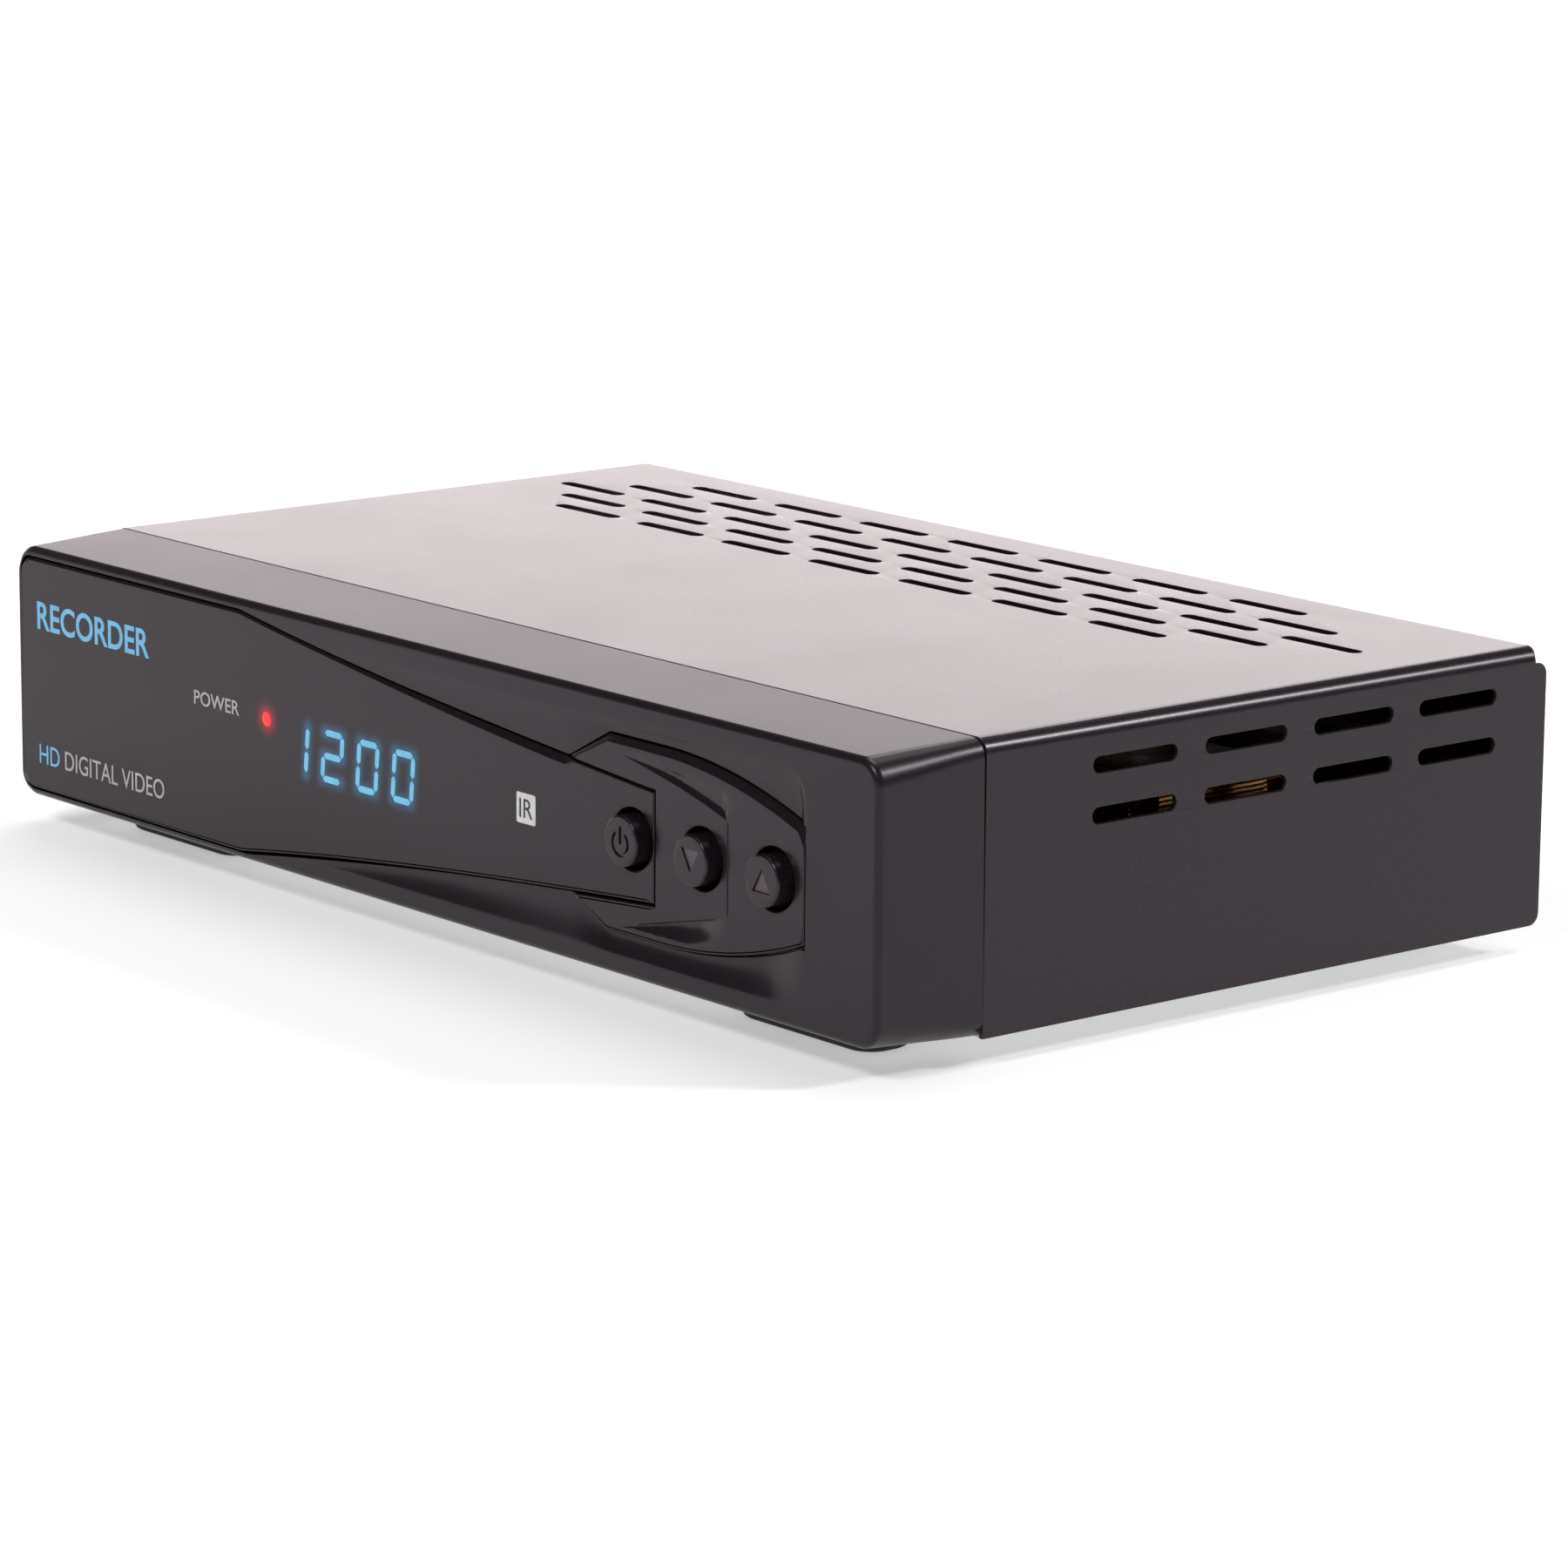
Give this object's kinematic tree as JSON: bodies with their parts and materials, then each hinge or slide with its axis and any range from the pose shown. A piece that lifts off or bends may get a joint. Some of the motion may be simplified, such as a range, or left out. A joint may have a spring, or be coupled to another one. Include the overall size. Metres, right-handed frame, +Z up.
{
  "type": "digital video recorder",
  "caption": "Compact digital recorder: slotted folded steel case, moulded front with smoked display lens, round push buttons, rear sockets and mains rocker.",
  "frame": {"origin": "centre of the recorder's footprint box, at the height of the soles of the feet", "axes": "+X to the viewer's right at the front, +Y from the front to the back, +Z up"},
  "size_m": [0.227, 0.1492, 0.0494],
  "materials": {
    "black_steel": "satin black powder coat on folded steel",
    "bare_steel": "zinc plated",
    "black_plastic": "fine satin moulded ABS",
    "smoked_lens": "smoked acrylic, gloss",
    "dark_plastic": "moulded black nylon",
    "rubber": "soft moulded",
    "green_board": "solder mask",
    "blue_display": "lit blue digits on a dark face",
    "red_light": "lit red",
    "aluminium": "extruded, clear",
    "gold": "gold plated",
    "winding": "tape over copper",
    "sleeve": "shrink sleeve",
    "white_cable": "PVC",
    "ceramic": "glazed",
    "nickel": "bright nickel"
  },
  "bodies": {
    "case": {"top_cover": "black_steel", "cover_screw_left": "bare_steel", "cover_screw_centre": "bare_steel", "cover_screw_right": "bare_steel", "chassis_tray": "bare_steel", "main_board_screw_1": "bare_steel", "main_board_screw_2": "bare_steel", "main_board_screw_3": "bare_steel", "main_board_screw_4": "bare_steel", "power_board_screw_1": "bare_steel", "power_board_screw_2": "bare_steel", "rear_panel": "black_steel", "foot_front_left": "rubber", "foot_front_right": "rubber", "foot_rear_left": "rubber", "foot_rear_right": "rubber", "front_bezel": "black_plastic", "display_lens": "smoked_lens", "button_panel": "black_plastic", "display_board": "green_board", "digit_display": "blue_display", "power_light": "red_light", "infrared_receiver": "dark_plastic", "power_switch_body": "bare_steel", "down_switch_body": "bare_steel", "up_switch_body": "bare_steel", "main_board": "green_board", "system_chip": "dark_plastic", "heat_sink": "aluminium", "hard_disk": "aluminium", "disk_bracket": "bare_steel", "tuner_can": "nickel", "aerial_input": "nickel", "aerial_loop_output": "nickel", "network_socket": "nickel", "hdmi_socket": "nickel", "usb_socket": "nickel", "optical_audio_socket": "dark_plastic", "phono_sockets": "gold", "mains_inlet": "dark_plastic", "mains_switch_housing": "dark_plastic", "power_board": "green_board", "transformer": "winding", "mains_choke": "winding", "bulk_capacitor": "sleeve", "output_capacitor": "sleeve", "rectifier_heat_sink": "aluminium", "fuse": "ceramic", "front_ribbon_cable": "white_cable", "disk_cable": "white_cable", "power_harness": "white_cable"},
    "power_button": {"power_button": "black_plastic", "power_switch_plunger": "dark_plastic"},
    "down_button": {"down_button": "black_plastic", "down_switch_plunger": "dark_plastic"},
    "up_button": {"up_button": "black_plastic", "up_switch_plunger": "dark_plastic"},
    "mains_rocker": {"mains_rocker": "dark_plastic"}
  },
  "joints": [
    {"name": "power_press", "type": "slide", "parent": "case", "child": "power_button", "axis": [0, 1, 0], "range_m": [0, 0.0005], "stiffness_N_per_m": 1200, "springref_m": -0.0004},
    {"name": "down_press", "type": "slide", "parent": "case", "child": "down_button", "axis": [0, 1, 0], "range_m": [0, 0.0005], "stiffness_N_per_m": 1200, "springref_m": -0.0004},
    {"name": "up_press", "type": "slide", "parent": "case", "child": "up_button", "axis": [0, 1, 0], "range_m": [0, 0.0005], "stiffness_N_per_m": 1200, "springref_m": -0.0004},
    {"name": "mains_rocker_tip", "type": "hinge", "parent": "case", "child": "mains_rocker", "pos_m": [0.0965, 0.06335, 0.0234], "axis": [1, 0, 0], "range_deg": [-20, 0]}
  ]
}
